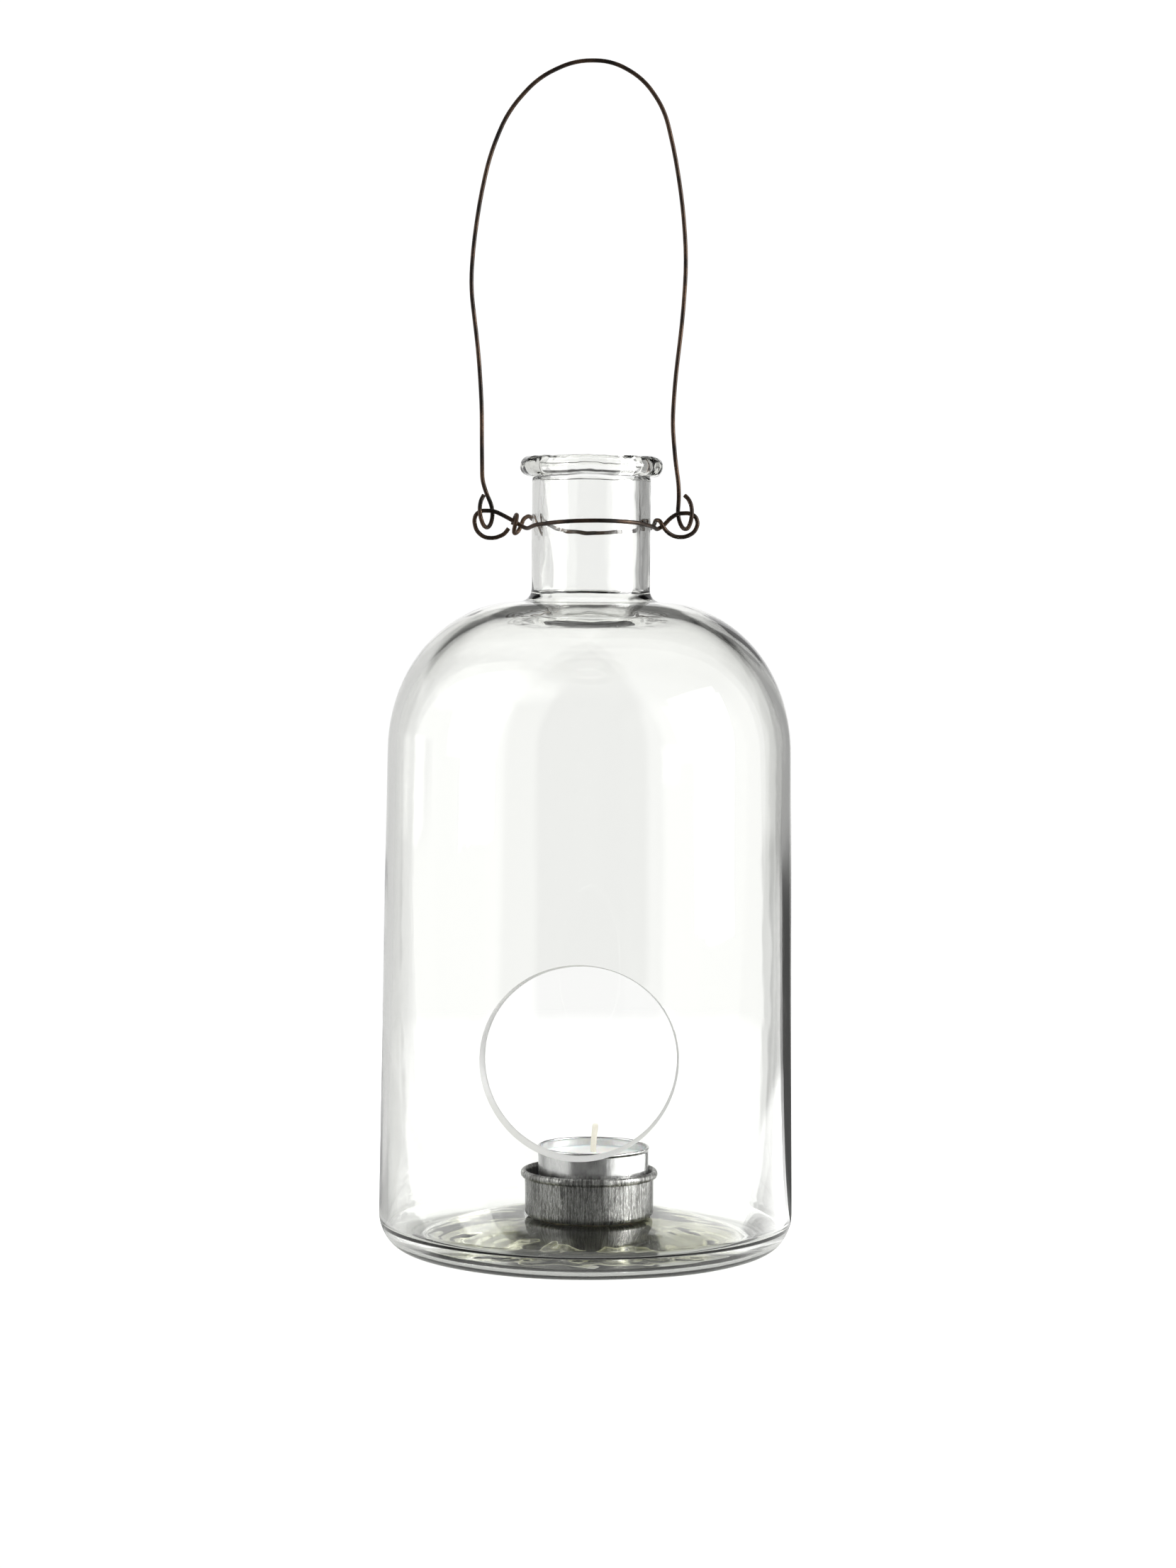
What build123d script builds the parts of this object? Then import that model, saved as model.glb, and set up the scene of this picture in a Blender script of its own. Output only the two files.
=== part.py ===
from build123d import *
import math
import os

# Hanging glass tealight lantern. Millimetres, +Z up, origin at the centre of the bottle's
# standing ring. The round hand hole faces -Y, and the bail hinges about a line along X.

# Bottle: blown clear glass, turned about Z
BASE_R = 69.3            # widest, just above the heel
SHOULDER_R = 67.4        # where the wall meets the shoulder
SHOULDER_Z = 166.0
SHOULDER_DROP = 49.9     # height of the shoulder's quarter ellipse
CREST_R = 23.75          # radius of the shoulder's highest ring, where the neck starts
NECK_R = 19.8
BORE_R = 17.0
WALL = 3.2
SHOULDER_WALL = 3.6
HEEL_R = 10.0
HEEL_RISE = 12.0
RING_R = 54.0            # inside of the standing ring
PUNT_RISE = 7.5          # how far the underside is pushed up at its centre
FLOOR_Z = 10.1           # level part of the inner floor, under the candle cup
FLOOR_FLAT_R = 22.5
FLOOR_BEND = 89.7        # radius of the floor's fall towards the heel
INNER_HEEL_R = 6.0
LIP_Z = 260.7            # middle of the rolled lip
LIP_R = 24.15
LIP_TALL = 3.5

# Hand hole, cut straight through the front wall, its outer edge ground back
HOLE_Z = 71.0
HOLE_TURN = 1.5          # degrees off the front, towards -X
HOLE_HALF_WIDTH = 30.5
HOLE_HALF_HEIGHT = 30.0
HOLE_EDGE = 0.8

# Candle cup of galvanised sheet, glued to the floor
CUP_X = 1.3
CUP_R = 21.6
CUP_H = 15.6
CUP_SHEET = 0.5
CUP_CORNER = 1.8
BEAD_WIDE = 0.95
BEAD_TALL = 1.3
GLUE_R = 19.5
GLUE_T = 0.4

# Tealight
TEALIGHT_X = 2.6
TEALIGHT_R = 19.0
TEALIGHT_H = 23.0
TEALIGHT_SHEET = 0.25
TEALIGHT_CORNER = 1.4
RIM_R = 0.45
WAX_DROP = 2.8           # wax surface below the rim
WICK_R = 0.85
WICK_OUT = 10.0
WICK_LEAN = 0.6
SUSTAINER_R = 6.5
SUSTAINER_SHEET = 0.25
SUSTAINER_COLLAR_R = 1.5
SUSTAINER_COLLAR_H = 4.0
FIT = 0.05               # gap between pieces that only touch

# Annealed iron wire
WIRE_R = 0.7
HINGE_Z = 245.1          # line through both eyelets, about which the bail swings
COLLAR_R = NECK_R + WIRE_R + 0.15
COLLAR_FRONT_Z = 242.5
COLLAR_BACK_Z = 238.8
LEG_LEFT_X = -32.8       # bail legs where they pass the hinge line
LEG_RIGHT_X = 28.9
BEND_SHARE = 0.45        # part of the shorter run that a bend takes up

LIP_WIDE = (LIP_R - BORE_R) / 2
LIP_RING_R = (LIP_R + BORE_R) / 2
CUP_Z = FLOOR_Z + GLUE_T
TEALIGHT_Z = CUP_Z + CUP_SHEET
SUSTAINER_Z = TEALIGHT_Z + TEALIGHT_SHEET + FIT
WAX_TOP = TEALIGHT_Z + TEALIGHT_H - WAX_DROP


def turned(draw, x=0.0, z=0.0):
    """The outline that draw makes in the XZ plane, turned about the vertical axis at x, z up."""
    with BuildPart() as part:
        with BuildSketch(Plane.XZ):
            with BuildLine():
                draw()
            make_face()
        revolve(axis=Axis.Z)
    return Pos(x, 0, z) * part.part


def bottle_outline():
    # The floor falls away from its level middle on a large arc, and a smaller arc of the heel
    # touches both that arc and the wall.
    inner_wall_r = BASE_R - WALL
    heel_x = inner_wall_r - INNER_HEEL_R
    reach = FLOOR_BEND + INNER_HEEL_R
    bend_z = FLOOR_Z - FLOOR_BEND
    heel_z = bend_z + math.sqrt(reach ** 2 - (heel_x - FLOOR_FLAT_R) ** 2)
    meet_angle = math.atan2(heel_z - bend_z, heel_x - FLOOR_FLAT_R)
    meet = (
        FLOOR_FLAT_R + FLOOR_BEND * math.cos(meet_angle),
        bend_z + FLOOR_BEND * math.sin(meet_angle),
    )
    punt_bend = (RING_R ** 2 + PUNT_RISE ** 2) / (2 * PUNT_RISE)
    crest_z = SHOULDER_Z + SHOULDER_DROP
    flare = CREST_R - NECK_R
    lip_start = LIP_Z - LIP_TALL * math.sqrt(1 - ((NECK_R - LIP_RING_R) / LIP_WIDE) ** 2)
    lip_start_angle = math.degrees(
        math.atan2((lip_start - LIP_Z) / LIP_TALL, (NECK_R - LIP_RING_R) / LIP_WIDE)
    )
    inner_crest_r = BORE_R + flare
    inner_crest_z = crest_z - SHOULDER_WALL
    inner_shoulder_r = SHOULDER_R - WALL

    RadiusArc((0, PUNT_RISE), (RING_R, 0), punt_bend)
    Line((RING_R, 0), (BASE_R - HEEL_R, 0))
    heel = (BASE_R - HEEL_R, HEEL_RISE)
    EllipticalCenterArc(heel, HEEL_R, HEEL_RISE, start_angle=-90, arc_size=90)
    Line((BASE_R, HEEL_RISE), (SHOULDER_R, SHOULDER_Z))
    crest = (CREST_R, SHOULDER_Z)
    EllipticalCenterArc(crest, SHOULDER_R - CREST_R, SHOULDER_DROP, start_angle=0, arc_size=90)
    CenterArc((CREST_R, crest_z + flare), flare, 180, 90)
    Line((NECK_R, crest_z + flare), (NECK_R, lip_start))
    EllipticalCenterArc(
        (LIP_RING_R, LIP_Z),
        LIP_WIDE,
        LIP_TALL,
        start_angle=lip_start_angle,
        arc_size=180 - lip_start_angle,
    )
    Line((BORE_R, LIP_Z), (BORE_R, inner_crest_z + flare))
    CenterArc((inner_crest_r, inner_crest_z + flare), flare, 180, 90)
    EllipticalCenterArc(
        (inner_crest_r, SHOULDER_Z),
        inner_shoulder_r - inner_crest_r,
        inner_crest_z - SHOULDER_Z,
        start_angle=0,
        arc_size=90,
    )
    Line((inner_shoulder_r, SHOULDER_Z), (inner_wall_r, heel_z))
    CenterArc((heel_x, heel_z), INNER_HEEL_R, 0, math.degrees(meet_angle) - 180)
    RadiusArc((FLOOR_FLAT_R, FLOOR_Z), meet, FLOOR_BEND)
    Line((FLOOR_FLAT_R, FLOOR_Z), (0, FLOOR_Z))
    Line((0, FLOOR_Z), (0, PUNT_RISE))


def glass_bottle():
    body = turned(bottle_outline)
    turn = math.radians(HOLE_TURN)
    front = Plane(
        origin=(0, 0, HOLE_Z),
        x_dir=(math.cos(turn), -math.sin(turn), 0),
        z_dir=(-math.sin(turn), -math.cos(turn), 0),
    )
    way = extrude(front * Ellipse(HOLE_HALF_WIDTH, HOLE_HALF_HEIGHT), 2 * BASE_R)
    cut = body - way
    hole_edges = cut.edges().filter_by(lambda edge: edge.bounding_box().max.Y < 0)
    outer_edge = hole_edges.sort_by(lambda edge: edge.bounding_box().min.Y)[0]
    return chamfer(outer_edge, HOLE_EDGE)


def cup_outline(outer_r, height, sheet, corner):
    """A straight-sided sheet cup with a rounded bottom corner, drawn from its floor."""
    inner_corner = corner - sheet
    Line((0, 0), (outer_r - corner, 0))
    CenterArc((outer_r - corner, corner), corner, -90, 90)
    Line((outer_r, corner), (outer_r, height))
    Line((outer_r, height), (outer_r - sheet, height))
    Line((outer_r - sheet, height), (outer_r - sheet, corner))
    CenterArc((outer_r - corner, corner), inner_corner, 0, -90)
    Line((outer_r - corner, sheet), (0, sheet))
    Line((0, sheet), (0, 0))


def rim_ring(ring_r, wide, tall, z):
    """A rolled rim: an elliptical ring."""
    ring = turned(
        lambda: (
            EllipticalCenterArc((ring_r, 0), wide, tall, start_angle=0, arc_size=180),
            EllipticalCenterArc((ring_r, 0), wide, tall, start_angle=180, arc_size=180),
        )
    )
    return Pos(0, 0, z) * ring


def candle_cup():
    bead_z = CUP_H - BEAD_TALL
    cup = turned(lambda: cup_outline(CUP_R, bead_z, CUP_SHEET, CUP_CORNER))
    cup += rim_ring(CUP_R - CUP_SHEET + BEAD_WIDE, BEAD_WIDE, BEAD_TALL, bead_z)
    return Pos(CUP_X, 0, CUP_Z) * cup


def glue_pad():
    up = (Align.CENTER, Align.CENTER, Align.MIN)
    return Pos(CUP_X, 0, FLOOR_Z) * Cylinder(GLUE_R, GLUE_T, align=up)


def tealight_cup():
    rim_z = TEALIGHT_H - RIM_R
    cup = turned(lambda: cup_outline(TEALIGHT_R - RIM_R, rim_z, TEALIGHT_SHEET, TEALIGHT_CORNER))
    cup += rim_ring(TEALIGHT_R - RIM_R, RIM_R, RIM_R, rim_z)
    return Pos(TEALIGHT_X, 0, TEALIGHT_Z) * cup


def sustainer_outline():
    inner_r = WICK_R + FIT
    Polyline(
        (inner_r, 0),
        (SUSTAINER_R, 0),
        (SUSTAINER_R, SUSTAINER_SHEET),
        (SUSTAINER_COLLAR_R, SUSTAINER_SHEET),
        (SUSTAINER_COLLAR_R, SUSTAINER_COLLAR_H),
        (inner_r, SUSTAINER_COLLAR_H),
        close=True,
    )


def wick_sustainer():
    return turned(sustainer_outline, TEALIGHT_X, SUSTAINER_Z)


def tealight_wax():
    """The wax fills the cup up to its surface, cast round the sustainer and the wick."""
    wax_r = TEALIGHT_R - RIM_R - TEALIGHT_SHEET - FIT
    up = (Align.CENTER, Align.CENTER, Align.MIN)
    wax = Cylinder(wax_r, WAX_TOP - SUSTAINER_Z, align=up)
    low = wax.edges().filter_by(GeomType.CIRCLE).sort_by(Axis.Z)[0]
    wax = fillet(low, TEALIGHT_CORNER)
    wax -= Cylinder(SUSTAINER_R + FIT, SUSTAINER_SHEET + FIT, align=up)
    wax -= Cylinder(SUSTAINER_COLLAR_R + FIT, SUSTAINER_COLLAR_H + FIT, align=up)
    wax -= Cylinder(WICK_R + FIT, TEALIGHT_H, align=up)
    return Pos(TEALIGHT_X, 0, SUSTAINER_Z) * wax


def bend_radii(points):
    """The radius of each bend along a route: as large as its two runs allow."""
    radii = []
    for a, b, c in zip(points, points[1:], points[2:]):
        turn = math.radians((b - a).get_angle(c - b))
        radii.append(BEND_SHARE * min((b - a).length, (c - b).length) / math.tan(turn / 2))
    return radii


def bent_rod(route, radius):
    """A round rod along straight runs joined by tangent arcs."""
    points = [Vector(*p) for p in route]
    radii = bend_radii(points)
    path = FilletPolyline(*points, radius=radii)
    start = Plane(origin=points[0], z_dir=points[1] - points[0])
    rod = sweep(start * Circle(radius), path=path)
    return rod, path, radii


def tealight_wick():
    x = TEALIGHT_X
    route = [
        (x, 0, SUSTAINER_Z),
        (x, 0, WAX_TOP + 1.0),
        (x - 0.1, 0, WAX_TOP + 0.5 * WICK_OUT),
        (x + WICK_LEAN, 0.2, WAX_TOP + WICK_OUT),
    ]
    return bent_rod(route, WICK_R)[0]


# The hook at each end of the bail goes once round the hinge line: down behind it, under it
# and up in front. Each row is the distance outwards from the leg, then y, then z from the
# hinge line, from the leg to the cut end.
LEFT_HOOK = [
    (3.5, 0.1, 10.8),
    (2.1, 1.0, 6.4),
    (0.4, 2.4, 2.6),
    (0.0, 3.0, -0.8),
    (0.6, 2.2, -3.7),
    (1.7, 0.4, -5.1),
    (3.0, -1.9, -4.2),
    (4.0, -3.0, -1.2),
    (4.2, -2.9, 1.8),
    (3.8, -2.4, 4.1),
    (2.9, -1.8, 5.8),
]
RIGHT_HOOK = [
    (0.0, 0.3, 10.2),
    (0.2, 1.9, 5.2),
    (-0.1, 3.1, 0.6),
    (0.5, 2.8, -2.6),
    (1.7, 1.0, -4.8),
    (3.2, -1.4, -4.8),
    (4.2, -2.9, -2.2),
    (4.5, -3.0, 1.0),
    (4.1, -2.7, 3.4),
    (3.2, -2.0, 5.2),
    (2.0, -1.5, 6.3),
]

# Hand-bent arch, from the left leg over the top to the right leg: x and z
ARCH = [
    (-36.5, 268.0),
    (-36.6, 280.0),
    (-37.7, 297.0),
    (-40.6, 320.0),
    (-39.7, 334.0),
    (-37.6, 349.0),
    (-34.4, 363.5),
    (-28.6, 377.5),
    (-18.6, 388.6),
    (-6.6, 394.2),
    (5.6, 394.2),
    (16.0, 388.4),
    (23.0, 378.4),
    (26.6, 364.0),
    (29.4, 347.0),
    (30.8, 329.0),
    (29.8, 310.5),
    (27.4, 289.5),
    (26.6, 275.0),
    (27.8, 262.5),
]


def hook(rows, leg_x, side):
    return [(leg_x + side * out, y, HINGE_Z + dz) for out, y, dz in rows]


def bail_wire():
    left = hook(LEFT_HOOK, LEG_LEFT_X, -1)
    right = hook(RIGHT_HOOK, LEG_RIGHT_X, 1)
    route = left[::-1] + [(x, 0, z) for x, z in ARCH] + right
    return bent_rod(route, WIRE_R)


def on_collar(degrees, z, out=1.0):
    """A corner of the polygon drawn round the collar's circle. -90 degrees is the front."""
    r = COLLAR_R * out
    return (r * math.cos(math.radians(degrees)), r * math.sin(math.radians(degrees)), z)


def neck_wire():
    hinge = HINGE_Z
    corner = 1 / math.cos(math.radians(17))
    left_eyelet = [
        (-27.4, 0.1, 240.0),
        (-28.9, 0.3, 238.0),
        (-32.0, 0.4, 236.7),
        (-35.6, 0.3, 236.9),
        (-38.2, 0.1, 239.2),
        (-38.9, 0.0, 242.4),
        (-38.4, 0.0, hinge - 0.6),
        (-36.6, 0.0, hinge + 0.7),
        (-32.4, 0.0, hinge + 0.7),
        (-29.0, -0.2, 244.2),
        (-25.7, -0.8, 242.4),
    ]
    front = [
        (-23.3, -1.4, 240.9),
        (-21.2, -5.0, 239.8),
        on_collar(-150, 241.0, corner),
        on_collar(-116, 242.1, corner),
        on_collar(-82, COLLAR_FRONT_Z, corner),
        on_collar(-48, 242.1, corner),
        on_collar(-20, 240.9, corner),
    ]
    right_eyelet = [
        (21.9, -1.0, 240.0),
        (24.1, 0.6, 241.4),
        (26.1, 0.2, 243.7),
        (28.6, 0.0, hinge + 0.3),
        (32.6, 0.0, hinge + 0.5),
        (34.8, 0.0, hinge - 0.7),
        (35.5, 0.0, 242.0),
        (34.3, 0.1, 239.2),
        (31.4, 0.0, 237.6),
        (28.0, -0.2, 237.6),
        (25.4, -0.9, 239.0),
        (23.6, -1.5, 241.3),
        (22.8, -1.2, 243.0),
        (21.4, 0.6, 243.2),
        (20.9, 4.2, 241.4),
    ]
    back = [
        on_collar(30, 239.8, corner),
        on_collar(64, 239.0, corner),
        on_collar(98, COLLAR_BACK_Z, corner),
        on_collar(132, 240.4, corner),
        on_collar(154, 243.0, corner),
    ]
    wrap = [
        (-20.8, 5.8, 244.5),
        (-22.6, 2.4, 243.2),
        (-23.3, 1.3, 241.0),
        (-24.3, 0.6, 238.9),
        (-25.6, -1.2, 238.1),
        (-25.5, -2.5, 240.0),
        (-24.9, -2.7, 242.3),
        (-24.6, -1.4, 244.4),
        (-25.0, 0.6, 244.6),
        (-25.7, 1.4, 242.7),
        (-26.1, 1.4, 241.2),
    ]
    return bent_rod(left_eyelet + front + right_eyelet + back + wrap, WIRE_R)


def main():
    os.makedirs("parts", exist_ok=True)
    neck, neck_path, neck_radii = neck_wire()
    bail, bail_path, bail_radii = bail_wire()
    for path, radii in ((neck_path, neck_radii), (bail_path, bail_radii)):
        print(f"wire length {path.length:.1f}, tightest bend {min(radii):.2f}")
    pieces = {
        "glass_bottle": glass_bottle(),
        "neck_wire": neck,
        "bail_wire": bail,
        "candle_cup": candle_cup(),
        "glue_pad": glue_pad(),
        "tealight_cup": tealight_cup(),
        "tealight_wax": tealight_wax(),
        "tealight_wick": tealight_wick(),
        "wick_sustainer": wick_sustainer(),
    }
    for name, piece in pieces.items():
        export_step(piece, f"parts/{name}.step")


main()
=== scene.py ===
import math

import bmesh
import bpy
from mathutils import Euler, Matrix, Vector, noise


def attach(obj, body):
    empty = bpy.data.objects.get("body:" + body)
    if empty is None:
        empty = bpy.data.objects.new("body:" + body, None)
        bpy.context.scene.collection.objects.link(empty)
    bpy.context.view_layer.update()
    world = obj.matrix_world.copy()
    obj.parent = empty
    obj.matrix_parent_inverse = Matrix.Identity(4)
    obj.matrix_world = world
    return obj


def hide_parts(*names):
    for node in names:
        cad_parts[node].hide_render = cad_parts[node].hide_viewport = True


# The looks of a hanging glass tealight lantern. The object's lengths are in millimetres until
# they go into a mesh, which is in metres. The stage's lengths are in metres.
MM = 0.001
TINY = 1e-6

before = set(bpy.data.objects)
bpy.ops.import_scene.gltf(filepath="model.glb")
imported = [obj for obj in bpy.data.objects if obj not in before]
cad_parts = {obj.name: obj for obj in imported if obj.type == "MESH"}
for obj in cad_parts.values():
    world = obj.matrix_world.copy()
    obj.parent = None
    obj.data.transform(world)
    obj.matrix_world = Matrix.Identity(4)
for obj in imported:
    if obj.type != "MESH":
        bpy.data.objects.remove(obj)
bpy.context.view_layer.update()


# ---------------------------------------------------------------- meshes

def add_piece(name, mesh, body, materials, stands_for):
    """Puts a mesh into the scene as a piece of the object, in place of its CAD node."""
    for polygon in mesh.polygons:
        polygon.use_smooth = True
    for material in materials:
        mesh.materials.append(material)
    piece = bpy.data.objects.new(name, mesh)
    bpy.context.scene.collection.objects.link(piece)
    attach(piece, body)
    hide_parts(stands_for)


def arc(centre, radii, start, end, steps):
    """Points on an ellipse's arc, angles in degrees, both ends included."""
    points = []
    for k in range(steps + 1):
        angle = math.radians(start + (end - start) * k / steps)
        points.append((centre[0] + radii[0] * math.cos(angle), centre[1] + radii[1] * math.sin(angle)))
    return points


def straight(start, end, steps):
    """Points on a straight line, both ends included."""
    return [
        (
            start[0] + (end[0] - start[0]) * k / steps,
            start[1] + (end[1] - start[1]) * k / steps,
        )
        for k in range(steps + 1)
    ]


def joined(*runs):
    """One outline from several runs of points, each point once."""
    outline = []
    for run in runs:
        for point in run:
            if not outline or math.dist(point, outline[-1]) > TINY:
                outline.append(point)
    return outline


def ring_of_verts(bm, radius, z, sectors, centre_x=0.0):
    """One ring of vertices about the vertical line at centre_x. Sector 0 is the front, -Y."""
    ring = []
    for j in range(sectors):
        angle = 2 * math.pi * j / sectors
        x = centre_x + radius * math.sin(angle)
        y = -radius * math.cos(angle)
        ring.append(bm.verts.new((x * MM, y * MM, z * MM)))
    return ring


def bridge(bm, low, high):
    """Quads between two closed rows of vertices."""
    faces = []
    for j in range(len(low)):
        k = (j + 1) % len(low)
        faces.append(bm.faces.new((low[j], low[k], high[k], high[j])))
    return faces


def finished(bm, name, shape=None):
    """Makes a mesh of what was built. shape gives each vertex's move from its place and normal."""
    bmesh.ops.recalc_face_normals(bm, faces=bm.faces)
    if shape:
        bm.normal_update()
        moves = [(vert, shape(vert.co / MM, vert.normal)) for vert in bm.verts]
        for vert, move in moves:
            vert.co += move * MM
    mesh = bpy.data.meshes.new(name)
    bm.to_mesh(mesh)
    bm.free()
    return mesh


def turned_mesh(name, outline, sectors, centre_x=0.0, shape=None):
    """An outline of (radius, z) turned about a vertical line. Points on the line close it."""
    bm = bmesh.new()
    rings = []
    for radius, z in outline:
        if radius < TINY:
            rings.append([bm.verts.new((centre_x * MM, 0, z * MM))])
        else:
            rings.append(ring_of_verts(bm, radius, z, sectors, centre_x))
    pairs = list(zip(rings, rings[1:]))
    if outline[0][0] > TINY:
        pairs.append((rings[-1], rings[0]))
    for low, high in pairs:
        if len(low) == 1 and len(high) == 1:
            continue
        if len(low) == 1 or len(high) == 1:
            tip = low[0] if len(low) == 1 else high[0]
            ring = high if len(low) == 1 else low
            for j in range(sectors):
                bm.faces.new((tip, ring[j], ring[(j + 1) % sectors]))
        else:
            bridge(bm, low, high)
    return finished(bm, name, shape)


def lifted(mesh, height):
    for vert in mesh.vertices:
        vert.co.z += height * MM
    return mesh


def waves(point, tall, across, up, shift=0.0):
    """Smooth noise, about tall at most, whose waves are so many millimetres wide and high."""
    return tall * noise.noise(Vector((point.x / across + shift, point.y / across, point.z / up)))


def faded(value, start, end):
    """Runs straight from 0 to 1 as value goes from start to end."""
    return min(1.0, max(0.0, (value - start) / (end - start)))


# ---------------------------------------------------------------- glass bottle

BASE_R = 69.3
SHOULDER_R = 67.4
SHOULDER_Z = 166.0
SHOULDER_DROP = 49.9
CREST_R = 23.75
NECK_R = 19.8
BORE_R = 17.0
WALL = 3.2
SHOULDER_WALL = 3.6
HEEL_R = 10.0
HEEL_RISE = 12.0
RING_R = 54.0
PUNT_RISE = 7.5
FLOOR_Z = 10.1
FLOOR_FLAT_R = 22.5
FLOOR_BEND = 89.7         # radius of the floor's fall from its flat middle to the heel
INNER_HEEL_R = 6.0
NECK_Z = 212.0            # from here up, the glass waves as on the neck
LIP_Z = 260.7
LIP_R = 24.15
LIP_TALL = 3.5
HOLE_Z = 71.0
HOLE_TURN = 1.5           # degrees round the bottle, to the left
HOLE_X = -BASE_R * math.sin(math.radians(HOLE_TURN))
HOLE_HALF_WIDTH = 30.5
HOLE_HALF_HEIGHT = 30.0
BEVEL_LEAST = 0.5         # the ground edge of the hole, across
BEVEL_MOST = 2.0
BEVEL_WIDEST = 0.6        # share of a turn from +X, anticlockwise from the front
INNER_BEVEL = 0.15
# The ground edge from outside to inside: its share of the bevel's width and of the wall's depth.
GROUND_STEPS = ((0.72, 0.12), (0.45, 0.27), (0.2, 0.45), (0.0, 0.7), (0.0, 0.88))

SECTORS = 240
PATCH_SECTORS = 23        # sectors each side of the front that the hole's patch takes up
PATCH_LOW = 33.0
PATCH_HIGH = 109.0
PATCH_ROWS = 38
PATCH_LOOPS = 7


def outer_wall_r(z):
    share = (z - HEEL_RISE) / (SHOULDER_Z - HEEL_RISE)
    return BASE_R + (SHOULDER_R - BASE_R) * share


def inner_wall_r(z):
    return outer_wall_r(z) - WALL


def wall_rows(radius_at, low, high):
    """Rows up the wall, with the rows of the hole's patch at the same heights inside and out."""
    below = [(radius_at(z), z) for _, z in straight((0, low), (0, PATCH_LOW), 10)]
    across = [(radius_at(z), z) for _, z in straight((0, PATCH_LOW), (0, PATCH_HIGH), PATCH_ROWS)]
    above = [(radius_at(z), z) for _, z in straight((0, PATCH_HIGH), (0, high), 22)]
    return joined(below, across, above)


def bottle_outline():
    """The outside from the punt's centre up to the lip, and the inside back down."""
    crest_z = SHOULDER_Z + SHOULDER_DROP
    flare = CREST_R - NECK_R
    lip_ring_r = (LIP_R + BORE_R) / 2
    lip_wide = (LIP_R - BORE_R) / 2
    lip_reach = (NECK_R - lip_ring_r) / lip_wide
    lip_start = -math.degrees(math.acos(lip_reach))
    lip_low = LIP_Z + LIP_TALL * math.sin(math.radians(lip_start))
    punt_bend = (RING_R ** 2 + PUNT_RISE ** 2) / (2 * PUNT_RISE)
    punt_half = math.degrees(math.asin(RING_R / punt_bend))
    outside = joined(
        arc((0, PUNT_RISE - punt_bend), (punt_bend, punt_bend), 90, 90 - punt_half, 26),
        straight((RING_R, 0), (BASE_R - HEEL_R, 0), 3),
        arc((BASE_R - HEEL_R, HEEL_RISE), (HEEL_R, HEEL_RISE), -90, 0, 26),
        wall_rows(outer_wall_r, HEEL_RISE, SHOULDER_Z),
        arc((CREST_R, SHOULDER_Z), (SHOULDER_R - CREST_R, SHOULDER_DROP), 0, 90, 34),
        arc((CREST_R, crest_z + flare), (flare, flare), 270, 180, 6),
        straight((NECK_R, crest_z + flare), (NECK_R, lip_low), 20),
        arc((lip_ring_r, LIP_Z), (lip_wide, LIP_TALL), lip_start, 180, 18),
    )
    floor_bend_z = FLOOR_Z - FLOOR_BEND
    heel_x = BASE_R - WALL - INNER_HEEL_R
    heel_out = heel_x - FLOOR_FLAT_R
    heel_up = math.sqrt((FLOOR_BEND + INNER_HEEL_R) ** 2 - heel_out ** 2)
    heel_z = floor_bend_z + heel_up
    meet = math.degrees(math.atan2(heel_up, heel_out))
    inner_crest_z = crest_z - SHOULDER_WALL
    inner_crest_r = BORE_R + flare
    inner_shoulder_r = SHOULDER_R - WALL
    inside = joined(
        straight((0, FLOOR_Z), (FLOOR_FLAT_R, FLOOR_Z), 8),
        arc((FLOOR_FLAT_R, floor_bend_z), (FLOOR_BEND, FLOOR_BEND), 90, meet, 26),
        arc((heel_x, heel_z), (INNER_HEEL_R, INNER_HEEL_R), meet - 180, 0, 34),
        wall_rows(inner_wall_r, heel_z, SHOULDER_Z),
        arc(
            (inner_crest_r, SHOULDER_Z),
            (inner_shoulder_r - inner_crest_r, inner_crest_z - SHOULDER_Z),
            0,
            90,
            34,
        ),
        arc((inner_crest_r, inner_crest_z + flare), (flare, flare), 270, 180, 6),
        straight((BORE_R, inner_crest_z + flare), (BORE_R, LIP_Z), 22),
    )
    return outside, inside[::-1]


def hole_point(share, grow):
    """A point on the hole's edge, in its own plane, grown outwards by grow. Share 0 is +X."""
    angle = 2 * math.pi * share
    x = HOLE_X + (HOLE_HALF_WIDTH + grow) * math.cos(angle)
    z = HOLE_Z + (HOLE_HALF_HEIGHT + grow) * math.sin(angle)
    return x, z


def hole_share(x, z):
    """Which way a point lies from the hole's middle, as a share of a full turn."""
    across = (x - HOLE_X) / HOLE_HALF_WIDTH
    up = (z - HOLE_Z) / HOLE_HALF_HEIGHT
    return math.atan2(up, across) / (2 * math.pi)


def patch_frame(rings):
    """The vertices round the hole's patch, anticlockwise from its low left. rings go upwards."""
    left = [ring[-PATCH_SECTORS] for ring in rings]
    right = [ring[PATCH_SECTORS] for ring in rings]
    bottom = [rings[0][j] for j in range(-PATCH_SECTORS, PATCH_SECTORS + 1)]
    top = [rings[-1][j] for j in range(-PATCH_SECTORS, PATCH_SECTORS + 1)]
    return bottom[:-1] + right[:-1] + top[:0:-1] + left[:0:-1]


def bevel_width(share):
    """The hole was ground by hand, so its bevel is widest at the lower left."""
    from_widest = 2 * math.pi * (share - BEVEL_WIDEST)
    lean = 0.5 + 0.5 * math.cos(from_widest)
    return BEVEL_LEAST + (BEVEL_MOST - BEVEL_LEAST) * lean ** 1.5


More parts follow.
